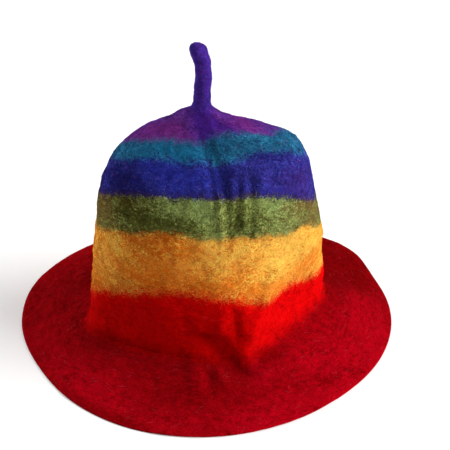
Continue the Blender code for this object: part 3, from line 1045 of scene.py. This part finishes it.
@dataclass(frozen=True)
class WoolFuzz:
    """Stray wool fibres on the felt: closed slivers that taper to both ends.

    Attributes:
        thickness: greatest width of a fibre.
        stand: greatest height of a lying fibre over the felt.
        least_stand: share of that height that every fibre has.
        bend: how far a fibre's direction turns, in radians.
        along_band: how much more fibres lie round the hat than up it.
        stations: places along a fibre, with both ends.
        sides: corners of a fibre's section.
        cell_margins: space left beside a fibre in its cell of the bake map.
    """

    shortest: float = 0.003
    longest: float = 0.011
    thickness: float = 0.00016
    stand: float = 0.0006
    least_stand: float = 0.3
    bend: float = 1.6
    along_band: float = 2.6
    stations: int = 5
    sides: int = 3
    cell_margins: tuple[float, float] = (0.10, 0.15)

    def build(self, shell: FeltShell, patch: FuzzPatch) -> bpy.types.Object:
        """Make all fibres of a patch as one mesh.

        A fibre starts at a random cell, chosen by area, and walks over the grid in even steps
        whose direction turns evenly. Its stations are read from the grid between its cells and
        lifted by a half sine.

        Args:
            shell: the felt that carries the fibres.
            patch: which stretch, and how many fibres.

        Returns:
            The object.
        """
        chance = np.random.default_rng(patch.seed)
        skin = shell.outer
        points = skin.points
        rows, columns = points.shape[:2]
        around = np.linalg.norm(np.roll(points, -1, axis=1) - points, axis=2)
        upward = np.linalg.norm(np.diff(points, axis=0, append=points[-1:]), axis=2)
        inside = (skin.rise >= patch.low) & (skin.rise < patch.high)
        weight = (around * upward * inside).ravel()
        cells = chance.choice(rows * columns, patch.fibres, p=weight / weight.sum())
        cell_rows, cell_columns = np.divmod(cells, columns)
        row = cell_rows + chance.uniform(0, 1, patch.fibres)
        column = cell_columns + chance.uniform(0, 1, patch.fibres)
        length = chance.uniform(self.shortest, self.longest, patch.fibres)
        heading = np.arctan2(
            chance.normal(size=patch.fibres), self.along_band * chance.normal(size=patch.fibres)
        )
        turn = chance.normal(0, self.bend, patch.fibres)
        height = self.stand * chance.uniform(self.least_stand, 1.0, patch.fibres)
        steps = self.stations - 1
        angle = heading + turn * (np.arange(1, self.stations)[:, None] / steps - 0.5)
        stride = length / steps
        up = np.sin(angle) * stride / np.maximum(upward[cell_rows, cell_columns], 0.01 * MM)
        across = np.cos(angle) * stride / around[cell_rows, cell_columns]
        last_row = rows - 1.001  # just under the last, so that there is one above to read
        rows_at = np.clip(np.cumsum(np.vstack([row, up]), axis=0), 0, last_row)
        columns_at = np.cumsum(np.vstack([column, across]), axis=0)
        base = self.read(points, rows_at, columns_at)
        normal = self.read(skin.normals, rows_at, columns_at)
        swell = np.sin(np.pi * np.linspace(0, 1, self.stations))[:, None]
        path = base + normal * (height * swell - self.thickness / 2)[:, :, None]
        slivers = self.slivers(path, normal, swell)
        dyes = {name: grid.reshape(-1, 3)[cells] for name, grid in shell.outer_dyes.items()}
        dyes["fibre"] = chance.uniform(0, 1, (patch.fibres, 3))
        return self.mesh(patch.name, slivers, dyes)

    def read(self, grid: Array, rows: Array, columns: Array) -> Array:
        """Read a grid between its cells, straight along rows and columns.

        Args:
            grid: values per row and column, with the columns closed round the hat.
            rows: places in rows.
            columns: places in columns.

        Returns:
            The values.
        """
        i, j = np.floor(rows).astype(int), np.floor(columns).astype(int)
        a, b = (rows - i)[..., None], (columns - j)[..., None]
        j0, j1 = j % grid.shape[1], (j + 1) % grid.shape[1]
        low = grid[i, j0] * (1 - b) + grid[i, j1] * b
        high = grid[i + 1, j0] * (1 - b) + grid[i + 1, j1] * b
        return low * (1 - a) + high * a

    def slivers(self, path: Array, normal: Array, swell: Array) -> Array:
        """Vertices of the fibres: a point at each end, and a small polygon between.

        Args:
            path: stations by fibres by 3.
            normal: the felt's normal at each station.
            swell: share of the full thickness at each station, a half sine.

        Returns:
            Vertices, fibres by vertices of a fibre by 3.
        """
        ahead = np.gradient(path, axis=0)
        ahead /= np.linalg.norm(ahead, axis=2, keepdims=True) + TINY
        side = np.cross(normal, ahead)
        side /= np.linalg.norm(side, axis=2, keepdims=True) + TINY
        above = np.cross(ahead, side)
        angles = (FULL_TURN * np.arange(self.sides) / self.sides)[:, None, None]
        middle = slice(1, self.stations - 1)
        arms = side[middle, None] * np.cos(angles) + above[middle, None] * np.sin(angles)
        arms *= (self.thickness / 2 * swell[middle])[:, :, None, None]
        polygons = (path[middle, None] + arms).reshape(-1, *path.shape[1:])
        return np.concatenate([path[:1], polygons, path[-1:]]).swapaxes(0, 1)

    def sliver_faces(self, per_fibre: int) -> Array:
        """Triangles of one fibre: a fan at each end, and two triangles a side between."""
        corner = np.arange(self.sides)
        after = (corner + 1) % self.sides
        faces = [np.stack([0 * corner, 1 + after, 1 + corner], axis=1)]
        for low in range(1, per_fibre - 1 - self.sides, self.sides):
            high = low + self.sides
            pairs = [low + corner, low + after, high + after, low + corner, high + after,
                     high + corner]
            faces.append(np.stack(pairs, axis=1).reshape(-1, 3))
        last = per_fibre - 1 - self.sides
        faces.append(np.stack([last + corner, last + after, 0 * corner + per_fibre - 1], axis=1))
        return np.concatenate(faces)

    def mesh(self, name: str, slivers: Array, dyes: dict[str, Array]) -> bpy.types.Object:
        """Make the object, with its dyes and its bake map.

        Each fibre has a square cell of the bake map, where it lies unrolled: length by girth.

        Args:
            name: name of the piece.
            slivers: vertices, fibres by vertices of a fibre by 3.
            dyes: named vectors, a row per fibre.

        Returns:
            The object.
        """
        count, per_fibre = slivers.shape[:2]
        start = np.arange(count)[:, None, None] * per_fibre
        faces = (start + self.sliver_faces(per_fibre)).reshape(-1, 3)
        mesh = bpy.data.meshes.new(name)
        mesh.from_pydata(slivers.reshape(-1, 3).tolist(), [], faces.tolist())
        for dye, vectors in dyes.items():
            store_vectors(mesh, dye, np.repeat(vectors, per_fibre, axis=0))
        cells = math.ceil(math.sqrt(count))
        cell = np.stack(np.divmod(np.arange(count), cells)[::-1], axis=1)
        corner = np.arange(per_fibre - 2)
        along = np.concatenate([[0], 1 + corner // self.sides, [self.stations - 1]])
        girth = np.concatenate([[1], corner % self.sides, [1]])
        shares = np.stack([along / (self.stations - 1), girth / (self.sides - 1)], axis=1)
        margins = np.array(self.cell_margins)
        places = (cell[:, None] + margins + (1 - 2 * margins) * shares) / cells
        store_bake_map(mesh, places.reshape(-1, 2)[faces.ravel()])
        mesh.shade_smooth()
        return linked(name, mesh)


class Noise(NamedTuple):
    """A noise in the wool: the size of its lumps in metres, and how rough and swirled it is."""

    size: float
    detail: float
    roughness: float
    swirl: float


class NodeBench:
    """Short ways to add nodes to a material and join them."""

    def __init__(self, name: str) -> None:
        """Make a material with one Principled shader."""
        self.material = bpy.data.materials.new(name)
        self.material.use_nodes = True
        self.tree = self.material.node_tree
        self.shader = self.tree.nodes["Principled BSDF"]

    def set(self, socket: Socket, value: object) -> None:
        """Link a socket to a node's output, or set its own value."""
        if isinstance(value, Socket):
            self.tree.links.new(value, socket)
        else:
            socket.default_value = value

    def node(self, kind: str, inputs: dict[int | str, object], output: int | str = 0,
             **settings: object) -> Socket:
        """Add a node.

        Args:
            kind: its type.
            inputs: values or links by input.
            output: which output to return.
            settings: its own settings, made before the inputs.

        Returns:
            The output.
        """
        node = self.tree.nodes.new(kind)
        for name, setting in settings.items():
            setattr(node, name, setting)
        for key, value in inputs.items():
            self.set(node.inputs[key], value)
        return node.outputs[output]

    def math(self, operation: str, *values: object, clamp: bool = False) -> Socket:
        """One step of arithmetic on numbers."""
        inputs = dict(enumerate(values))
        return self.node("ShaderNodeMath", inputs, operation=operation, use_clamp=clamp)

    def total(self, *values: object) -> Socket:
        """Sum of several numbers."""
        return reduce(lambda total, value: self.math("ADD", total, value), values)

    def scaled(self, value: object, size: float, middle: float = 0.5) -> Socket:
        """A noise around its middle, times size: (value - middle) x size."""
        return self.math("MULTIPLY_ADD", value, size, -middle * size)

    def step(self, value: object, low: float, high: float) -> Socket:
        """Eased share of the way from low to high."""
        inputs = {"Value": value, "From Min": low, "From Max": high}
        return self.node("ShaderNodeMapRange", inputs, interpolation_type="SMOOTHSTEP")

    def blend(self, share: object, low: Socket | Colour, high: Socket | Colour) -> Socket:
        """Mix two colours by a share."""
        ends = [end if isinstance(end, Socket) else (*end, 1.0) for end in (low, high)]
        inputs = {0: share, 6: ends[0], 7: ends[1]}
        return self.node("ShaderNodeMix", inputs, 2, data_type="RGBA", clamp_factor=True)

    def noise(self, place: Socket, noise: Noise) -> Socket:
        """A noise read at a place."""
        inputs = {"Vector": place, "Scale": 1 / noise.size, "Detail": noise.detail}
        inputs.update({"Roughness": noise.roughness, "Distortion": noise.swirl})
        return self.node("ShaderNodeTexNoise", inputs, "Fac")

    def place(self) -> Socket:
        """Object coordinates."""
        return self.node("ShaderNodeTexCoord", {}, "Object")

    def vector(self, name: str) -> Socket:
        """A vector attribute of the mesh."""
        return self.node("ShaderNodeAttribute", {}, "Vector", attribute_name=name)

    def parts(self, vector: Socket) -> list[Socket]:
        """The three numbers of a vector."""
        return list(self.node("ShaderNodeSeparateXYZ", {0: vector}).node.outputs)


@dataclass(frozen=True)
class Dye:
    """Colours of one dyed wool, as linear light.

    Attributes:
        body: its common colour.
        deep: where the felt is dense.
        light: its loose upper hairs.
        under: another wool that comes through it.
        marbling: how much of that comes through.
        grain: strength of its dark gaps and light hairs.
    """

    body: Colour
    deep: Colour
    light: Colour
    under: Colour
    marbling: float
    grain: float


class Wool(Enum):
    """The dyed wools, from the rim to the stem."""

    CRIMSON = Dye(
        body=(0.40, 0.0006, 0.005), deep=(0.25, 0.0002, 0.0015), light=(0.55, 0.003, 0.018),
        under=(0.30, 0.0003, 0.0005), marbling=0.30, grain=0.45,
    )
    SCARLET = Dye(
        body=(0.90, 0.0010, 0.0016), deep=(0.62, 0.0004, 0.0008), light=(0.98, 0.006, 0.010),
        under=(0.60, 0.0003, 0.0008), marbling=0.10, grain=0.45,
    )
    GOLD = Dye(
        body=(0.88, 0.40, 0.010), deep=(0.66, 0.150, 0.002), light=(1.0, 0.74, 0.15),
        under=(0.72, 0.085, 0.002), marbling=0.38, grain=1.30,
    )
    GREEN = Dye(
        body=(0.165, 0.195, 0.024), deep=(0.050, 0.050, 0.003), light=(0.52, 0.62, 0.20),
        under=(0.15, 0.062, 0.016), marbling=0.25, grain=1.50,
    )
    BLUE = Dye(
        body=(0.018, 0.025, 0.32), deep=(0.009, 0.006, 0.11), light=(0.10, 0.12, 0.60),
        under=(0.070, 0.010, 0.13), marbling=0.25, grain=1.20,
    )
    TEAL = Dye(
        body=(0.007, 0.150, 0.30), deep=(0.007, 0.042, 0.14), light=(0.06, 0.34, 0.50),
        under=(0.030, 0.025, 0.19), marbling=0.33, grain=1.35,
    )
    PURPLE = Dye(
        body=(0.165, 0.036, 0.37), deep=(0.075, 0.014, 0.18), light=(0.33, 0.11, 0.50),
        under=(0.070, 0.018, 0.27), marbling=0.33, grain=0.95,
    )
    VIOLET = Dye(
        body=(0.074, 0.028, 0.35), deep=(0.036, 0.013, 0.17), light=(0.15, 0.080, 0.52),
        under=(0.09, 0.012, 0.22), marbling=0.20, grain=0.60,
    )


@dataclass(frozen=True)
class EdgeFinish:
    """How one band gives way to the next.

    Attributes:
        feather: width over which the wools mix, in millimetres.
        ragged: how far the felt's grain carries the edge, in millimetres.
        wave: how far the hand-laid edge wanders, in millimetres.
        hairs: how far loose hairs of the upper wool reach below it, in millimetres.
    """

    feather: float
    ragged: float
    wave: float
    hairs: float


EDGE_FINISHES = (
    EdgeFinish(20.0, 14.0, 16.0, 0.0),
    EdgeFinish(8.0, 15.0, 7.0, 7.0),
    EdgeFinish(3.0, 11.0, 6.0, 2.5),
    EdgeFinish(2.5, 10.0, 5.0, 2.0),
    EdgeFinish(7.0, 17.0, 8.0, 3.5),
    EdgeFinish(7.0, 16.0, 8.0, 3.5),
    EdgeFinish(8.0, 12.0, 8.0, 3.0),
)
NOISES = {
    "fine": Noise(0.0010, 2.0, 0.6, 0.8),
    "curls": Noise(0.0026, 2.0, 0.6, 1.8),
    "streaks": Noise(0.0026, 3.0, 0.6, 1.2),
    "patches": Noise(0.009, 3.0, 0.6, 0.8),
    "clouds": Noise(0.030, 2.0, 0.5, 0.3),
}
HAIRS = ((0.0056, 0.050), (0.0036, 0.065), (0.0023, 0.080))
STRANDS = ((0.0040, 0.050), (0.0026, 0.060))


class Grain(NamedTuple):
    """A mask's recipe: how much of each noise goes in, and a number added to their sum.

    The mask is 0 where the sum is at its low end and 1 at its high end.
    """

    low: float = 0.0
    high: float = 1.0
    add: float = 0.0
    fine: float = 0.0
    curls: float = 0.0
    streaks: float = 0.0
    patches: float = 0.0
    clouds: float = 0.0


DENSE = Grain(0.0, 1.0, 0.60, streaks=1.4, patches=2.0, clouds=1.2)
MARBLED = Grain(0.0, 0.6, -0.25, curls=2.0, streaks=2.4, patches=3.0)
GAPS = Grain(0.35, -0.15, 0.42, fine=2.4, curls=2.0)
LOOSE = Grain(add=0.55, fine=1.0, patches=1.2)
FRAYED = Grain(0.15, 0.85, curls=1.5, streaks=1.8, patches=1.3)
FRINGED = Grain(3.6, 0.4, -0.5, fine=6.0, curls=12.0, streaks=12.0)
THROUGH = Grain(0.0, 1.2, 0.25, curls=1.4, patches=1.2)
RELIEF = Grain(fine=0.6, curls=1.2, streaks=0.6)
FRINGE_COLOUR = (0.055, 0.020, 0.050)


@dataclass
class FeltDyes:
    """Works out the felt's colour from its dye attributes and wool-scale noise, with painted light
    and shade among the wisps.

    Attributes:
        hairs: share of the light hair colour, the felt's own tangle unless given.
        strand_strength: how plainly strands of the other wool lie in a dye.
        gap_strength: how plainly the dark gaps between hairs show.
        gap_shade: brightness of the gaps, as a share of the dye's deep colour.
        hair_middle: usual share of hair, which leaves an edge where it is.
        hair_relief: height of the hairs beside that of the noises.
        fringe_strength: how plainly the fringe over the green shows.
    """

    bench: NodeBench
    hairs: Socket | None = None
    strand_strength: float = 0.45
    gap_strength: float = 0.8
    gap_shade: float = 0.55
    hair_middle: float = 0.3
    hair_relief: float = 0.25
    fringe_strength: float = 0.60

    def __post_init__(self) -> None:
        """Add the noises that all bands share."""
        place, drift = self.bench.place(), self.bench.vector("drift")
        self.noises = {
            name: self.bench.noise(drift if name == "streaks" else place, noise)
            for name, noise in NOISES.items()
        }
        self.hairs = self.hairs or self.tangle(place, HAIRS)
        self.strands = self.tangle(drift, STRANDS)

    def tangle(self, place: Socket, layers: tuple[tuple[float, float], ...]) -> Socket:
        """Loose hairs: thin lines where a swirling noise passes its middle, in several sizes.

        Args:
            place: where the noise is read.
            layers: for each size, its noise's size and the width of its lines in noise steps.

        Returns:
            Share of hair.
        """
        bench = self.bench
        lines = []
        for size, width in layers:
            swirl = bench.noise(place, Noise(size, 1.5, 0.5, 1.6))
            off = bench.math("ABSOLUTE", bench.math("SUBTRACT", swirl, 0.5))
            lines.append(bench.step(off, width, 0.0))
        return reduce(lambda most, line: bench.math("MAXIMUM", most, line), lines)

    def sum(self, grain: Grain, *more: object) -> Socket:
        """Sum of a recipe's noises, each around its middle, with its number and more."""
        sizes = grain._asdict()
        values = [self.bench.scaled(noise, sizes[name])
                  for name, noise in self.noises.items() if sizes[name]]
        return self.bench.total(*more, *values, *([grain.add] if grain.add else []))

    def mask(self, grain: Grain, *more: object) -> Socket:
        """Eased share of the way from a recipe's low end to its high end."""
        return self.bench.step(self.sum(grain, *more), grain.low, grain.high)

    def wool(self, dye: Dye) -> Socket:
        """One wool: deep and body mixed by the felt's grain, then marbling, gaps and hairs.

        Args:
            dye: the wool's colours.

        Returns:
            The colour.
        """
        bench = self.bench
        colour = bench.blend(self.mask(DENSE), dye.deep, dye.body)
        colour = bench.blend(self.mask(MARBLED, dye.marbling), colour, dye.under)
        strength = self.strand_strength * dye.grain
        strands = bench.math("MULTIPLY", self.strands, strength, clamp=True)
        colour = bench.blend(strands, colour, dye.under)
        strength = self.gap_strength * dye.grain
        gaps = bench.math("MULTIPLY", self.mask(GAPS), strength, clamp=True)
        colour = bench.blend(gaps, colour, tuple(self.gap_shade * value for value in dye.deep))
        loose = bench.math("MULTIPLY", self.sum(LOOSE), dye.grain)
        hairs = bench.math("MULTIPLY", self.hairs, loose, clamp=True)
        return bench.blend(hairs, colour, dye.light)

    def share(self, distance: Socket, finish: EdgeFinish) -> Socket:
        """Share of the upper wool across an edge, ragged by the noises and the hairs."""
        half, fray = finish.feather / 2, finish.ragged / 2
        grain = Grain(-half, half, fine=fray, curls=finish.ragged, streaks=fray, patches=finish.wave)
        hairs = self.bench.scaled(self.hairs, finish.hairs, self.hair_middle)
        return self.mask(grain, distance, hairs)

    def colour(self) -> Socket:
        """The whole felt's colour, band over band from the brim up.

        The attributes hold the seven edges, then inside and the deep wisps, then the other wisps
        in the order of Tint. The light, orange and deep wisps are partly painted light and shade.

        Returns:
            The colour.
        """
        bench = self.bench
        names = ("band_low", "band_mid", "band_top", "wisp_a", "wisp_b")
        numbers = [number for name in names for number in bench.parts(bench.vector(name))]
        # deep: share of the deep wisps, mostly painted shade; the light and orange shares are partly
        # painted light and shade
        (inside, deep), others = numbers[7:9], numbers[9:14]
        wisps = dict(zip(Tint, (*others, deep)))
        edges = dict(zip(list(Wool)[1:], numbers[:7]))
        colour = self.dressed(Wool.CRIMSON, wisps)
        for (wool, distance), finish in zip(edges.items(), EDGE_FINISHES):
            colour = bench.blend(self.share(distance, finish), colour, self.dressed(wool, wisps))
        colour = self.fringe(colour, edges[Wool.BLUE])
        return self.inner_side(colour, inside)

    def dressed(self, wool: Wool, wisps: dict[Tint, Socket]) -> Socket:
        """A band's wool with the wisps that lie in it, frayed by the noises; the light, orange and
        deep wisps are partly painted light and shade.

        Args:
            wool: which band.
            wisps: share of each tint.

        Returns:
            The colour.
        """
        bench = self.bench
        colour = self.wool(wool.value)
        for tint, gain, dye in WISP_COLOURS.get(wool, ()):
            share = bench.math("MULTIPLY", self.mask(FRAYED, wisps[tint]), gain)
            colour = bench.blend(share, colour, dye)
        return colour

    def fringe(self, colour: Socket, blue: Socket) -> Socket:
        """The dark purplish line where blue wool lies over the green."""
        bench = self.bench
        away = bench.math("ABSOLUTE", self.sum(FRINGED, blue))
        near = bench.step(away, FRINGED.low, FRINGED.high)
        share = bench.math("MULTIPLY", near, self.fringe_strength)
        return bench.blend(share, colour, FRINGE_COLOUR)

    def inner_side(self, colour: Socket, inside: Socket) -> Socket:
        """The inside: red wool, with the bands' wools worked faintly through it."""
        red = self.wool(Wool.SCARLET.value)
        inner = self.bench.blend(self.mask(THROUGH), red, colour)
        return self.bench.blend(inside, colour, inner)

    def height(self) -> Socket:
        """Height of the felt's surface: tangled threads over small lumps."""
        return self.sum(RELIEF, self.bench.math("MULTIPLY", self.hairs, self.hair_relief))


# Colours of the wisps in each band. The light tint's colours are partly painted light; the orange
# and deep tints' colours are partly painted shade.
WISP_COLOURS: dict[Wool, tuple[tuple[Tint, float, Colour], ...]] = {
    Wool.CRIMSON: (
        # painted light on the brim's lit lower right rim, its front and its left
        (Tint.LIGHT, 0.8, (0.57, 0.001, 0.014)),
        # painted shade on the brim behind the crown, at its lower-left rim and by the mouth
        (Tint.DEEP, 0.8, (0.20, 0.0002, 0.0008)),
    ),
    Wool.SCARLET: (
        # painted shade: the lower crown's red darkened on its left and front and in the pits by the
        # mouth
        (Tint.DEEP, 0.9, (0.58, 0.0006, 0.0005)),
    ),
    Wool.GOLD: (
        # partly painted light: the gold's lit right side, and a painted sheen on its left limb
        (Tint.LIGHT, 0.7, (0.96, 0.64, 0.13)),
        # partly painted shade: deeper orange across the gold's shaded front-left
        (Tint.ORANGE, 0.65, (0.78, 0.165, 0.003)),
        # painted shade in a crease of the gold
        (Tint.DEEP, 0.7, (0.54, 0.100, 0.001)),
    ),
    Wool.GREEN: (
        # partly paler wool, partly painted light
        (Tint.LIGHT, 0.6, (0.29, 0.41, 0.15)),
        (Tint.OLIVE, 0.75, (0.19, 0.085, 0.026)),
        # partly darker wool, partly painted shade in creases
        (Tint.DEEP, 0.8, (0.052, 0.052, 0.003)),
    ),
    Wool.BLUE: (
        (Tint.MAGENTA, 0.7, (0.066, 0.021, 0.175)),
        # partly darker wool, partly painted shade on the blue's shaded lower left
        (Tint.DEEP, 0.8, (0.012, 0.008, 0.10)),
        # partly paler wool, partly painted light on the blue's left
        (Tint.LIGHT, 0.6, (0.030, 0.048, 0.46)),
    ),
    Wool.TEAL: (
        # painted light on the teal's left and middle
        (Tint.LIGHT, 0.65, (0.016, 0.240, 0.44)),
        # painted shade on the teal's right
        (Tint.DEEP, 0.4, (0.010, 0.090, 0.18)),
    ),
    Wool.PURPLE: (
        (Tint.MAGENTA, 0.65, (0.28, 0.032, 0.25)),
        (Tint.VIOLET, 0.9, (0.075, 0.018, 0.29)),
    ),
}


@dataclass(frozen=True)
class FeltFinish:
    """Matt wet-felted wool.

    Attributes:
        shine: specular level.
        sheen: strength of the fuzz's glow at a low angle.
        relief: depth of the fine surface.
    """

    roughness: float = 0.95
    shine: float = 0.01
    sheen: float = 0.006
    sheen_roughness: float = 0.45
    relief: float = 0.0009

    def make(self, name: str) -> bpy.types.Material:
        """Make the material under its name."""
        bench = NodeBench(name)
        inputs = bench.shader.inputs
        inputs["Roughness"].default_value = self.roughness
        inputs["Specular IOR Level"].default_value = self.shine
        inputs["Sheen Weight"].default_value = self.sheen
        inputs["Sheen Roughness"].default_value = self.sheen_roughness
        self.dress(bench)
        return bench.material

    def dress(self, bench: NodeBench) -> None:
        """Give the shader the felt's colour, and its fine surface as a normal."""
        dyes = FeltDyes(bench)
        bench.set(bench.shader.inputs["Base Color"], dyes.colour())
        relief = {"Strength": 1.0, "Distance": self.relief, "Height": dyes.height()}
        normal = bench.node("ShaderNodeBump", relief, "Normal")
        bench.set(bench.shader.inputs["Normal"], normal)


@dataclass(frozen=True)
class FuzzFinish(FeltFinish):
    """Loose fibres: their band's dye, each its own shade, a few of them pale.

    Attributes:
        brightest: the greatest brightness of a fibre, as a share of its dye's.
        spread: how far fibres differ in brightness.
        pale_share: share of the brim's fibres that are pale.
        pale_above: the same share on the crown.
        pale_strength: how pale those are.
        pale: colour of those.
        light_ends: where a fibre's chance gives it none and all of its dye's light colour.
        brim_blend: distance from the mouth at which the brim's share holds, in millimetres.
    """

    brightest: float = 1.45
    spread: float = 0.7
    pale_share: float = 0.03
    pale_above: float = 0.006
    pale_strength: float = 0.55
    pale: Colour = (0.62, 0.13, 0.18)
    light_ends: tuple[float, float] = (0.15, 0.75)
    brim_blend: float = 8.0

    def dress(self, bench: NodeBench) -> None:
        """Give the shader each fibre's colour."""
        shade, pale, light = bench.parts(bench.vector("fibre"))
        colour = FeltDyes(bench, bench.step(light, *self.light_ends)).colour()
        gain = bench.math("MULTIPLY_ADD", shade, self.spread, self.brightest - self.spread)
        inputs = {0: colour, "Scale": gain}
        shaded = bench.node("ShaderNodeVectorMath", inputs, operation="SCALE")
        mouth = bench.parts(bench.vector("band_low"))[0]
        on_brim = bench.step(mouth, self.brim_blend, -self.brim_blend)
        more = self.pale_share - self.pale_above
        limit = bench.math("MULTIPLY_ADD", on_brim, more, self.pale_above)
        chosen = bench.math("LESS_THAN", pale, limit)
        share = bench.math("MULTIPLY", chosen, self.pale_strength)
        bench.set(bench.shader.inputs["Base Color"], bench.blend(share, shaded, self.pale))


FUZZ_PATCHES = (
    FuzzPatch("brim_fuzz", -0.11, 0.0, 10800, 21),
    FuzzPatch("lower_crown_fuzz", 0.0, 0.40, 10800, 22),
    FuzzPatch("middle_crown_fuzz", 0.40, 0.72, 10800, 23),
    FuzzPatch("upper_crown_fuzz", 0.72, 0.99, 10400, 24),
    FuzzPatch("stem_fuzz", 0.99, 1.3, 700, 25),
)


class Lamp(NamedTuple):
    """A square soft light: angles in degrees, sizes in metres and its power in watts."""

    name: str
    azimuth: float
    elevation: float
    distance: float
    size: float
    power: float


LAMPS = (Lamp("key", -8, 32, 1.6, 1.2, 38.0), Lamp("fill", 150, 20, 1.6, 1.2, 25.0))


@dataclass(frozen=True)
class Studio:
    """Floor, soft lights and the camera at the photograph's angle.

    Attributes:
        sky: brightness of the even light from all round.
        gamma: tone of the picture, below 1 for deeper shades.
        aim: what camera and lamps look at.
        lens: focal length in millimetres.
        sensor: width of the sensor in millimetres.
    """

    floor_size: float = 8.0
    floor_colour: Colour = (0.92, 0.92, 0.92)
    sky: float = 0.34
    gamma: float = 0.9
    camera_place: tuple[float, float, float] = (0.0172, -0.6671, 0.5303)
    aim: tuple[float, float, float] = (0.0172, -0.0045, 0.1000)
    lens: float = 73.63
    sensor: float = 36.0

    def floor(self) -> None:
        """The floor at height 0: a plain pale sheet."""
        half = self.floor_size / 2
        mesh = bpy.data.meshes.new("studio_floor")
        corners = [(-half, -half, 0), (half, -half, 0), (half, half, 0), (-half, half, 0)]
        mesh.from_pydata(corners, [], [(0, 1, 2, 3)])
        bench = NodeBench("studio_floor")
        bench.shader.inputs["Base Color"].default_value = (*self.floor_colour, 1.0)
        bench.shader.inputs["Roughness"].default_value = 0.9
        bench.shader.inputs["Specular IOR Level"].default_value = 0.1
        mesh.materials.append(bench.material)
        linked("studio_floor", mesh)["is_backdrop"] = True

    def aimed(self, name: str, data: bpy.types.ID, place: Vector) -> bpy.types.Object:
        """A lamp or camera that stands at a place and looks at the hat, kept level."""
        thing = linked(name, data)
        thing.location = place
        thing.rotation_euler = (Vector(self.aim) - place).to_track_quat("-Z", "Y").to_euler()
        return thing

    def light(self, lamp: Lamp) -> None:
        """Set a lamp at its distance from the hat."""
        data = bpy.data.lights.new(lamp.name, "AREA")
        data.shape = "SQUARE"
        data.size = lamp.size
        data.energy = lamp.power
        a, e = math.radians(lamp.azimuth), math.radians(lamp.elevation)
        way = Vector((math.cos(a) * math.cos(e), math.sin(a) * math.cos(e), math.sin(e)))
        self.aimed(lamp.name, data, Vector(self.aim) + way * lamp.distance)

    def camera(self) -> None:
        """The camera, level and aimed at the crown."""
        data = bpy.data.cameras.new("camera")
        data.sensor_width = self.sensor
        data.lens = self.lens
        bpy.context.scene.camera = self.aimed("camera", data, Vector(self.camera_place))

    def build(self) -> None:
        """Set the whole studio."""
        scene = bpy.context.scene
        scene.view_settings.view_transform = "Standard"
        scene.view_settings.gamma = self.gamma
        scene.world = bpy.data.worlds.new("studio")
        scene.world.use_nodes = True
        background = scene.world.node_tree.nodes["Background"]
        background.inputs["Color"].default_value = (1.0, 1.0, 1.0, 1.0)
        background.inputs["Strength"].default_value = self.sky
        self.floor()
        for lamp in LAMPS:
            self.light(lamp)
        self.camera()


def corners(box: tuple[Vector, Vector]) -> list[list[float]]:
    """A box's lowest and highest corner as plain numbers."""
    return [[float(value) for value in corner] for corner in box]


def seat(pieces: list[bpy.types.Object], node: str) -> None:
    """Move all pieces alike so that the first one's plan middle is that of its solid.

    Args:
        pieces: the pieces to move, by their vertices.
        node: the solid's node.
    """
    middle = np.array(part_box(node)).mean(axis=0)
    shift = None
    for piece in pieces:
        places = np.empty(len(piece.data.vertices) * 3, np.float32)
        piece.data.vertices.foreach_get("co", places)
        places = places.reshape(-1, 3)
        if shift is None:
            shift = middle - (places.min(axis=0) + places.max(axis=0)) / 2
            shift[2] = 0.0
        piece.data.vertices.foreach_set("co", (places + shift).astype(np.float32).ravel())
        piece.data.update()


def main() -> None:
    """Load the frame, build the hat's felt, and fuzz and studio."""
    logging.basicConfig(level=logging.INFO, format="%(name)s: %(message)s")
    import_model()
    cad_box = corners(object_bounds())
    form = FeltForm()
    felt = FeltShell(HatSurfaces(form, GridPlan()), DyedBands(form))
    shell = felt.build("felt_shell")
    fuzz = [WoolFuzz().build(felt, patch) for patch in FUZZ_PATCHES]
    pieces = [shell, *fuzz]
    seat(pieces, "felt_hat")
    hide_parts("felt_hat")
    shell.data.materials.append(FeltFinish().make("wet_felted_wool"))
    loose_wool = FuzzFinish().make("loose_wool_fibres")
    for piece in fuzz:
        piece.data.materials.append(loose_wool)
    for piece in pieces:
        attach(piece, "root")
        LOG.info("%s: %d faces", piece.name, len(piece.data.polygons))
    Studio().build()
    sizes = {"cad_box": cad_box, "visual_box": corners(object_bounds())}


if __name__ == "__main__":
    main()
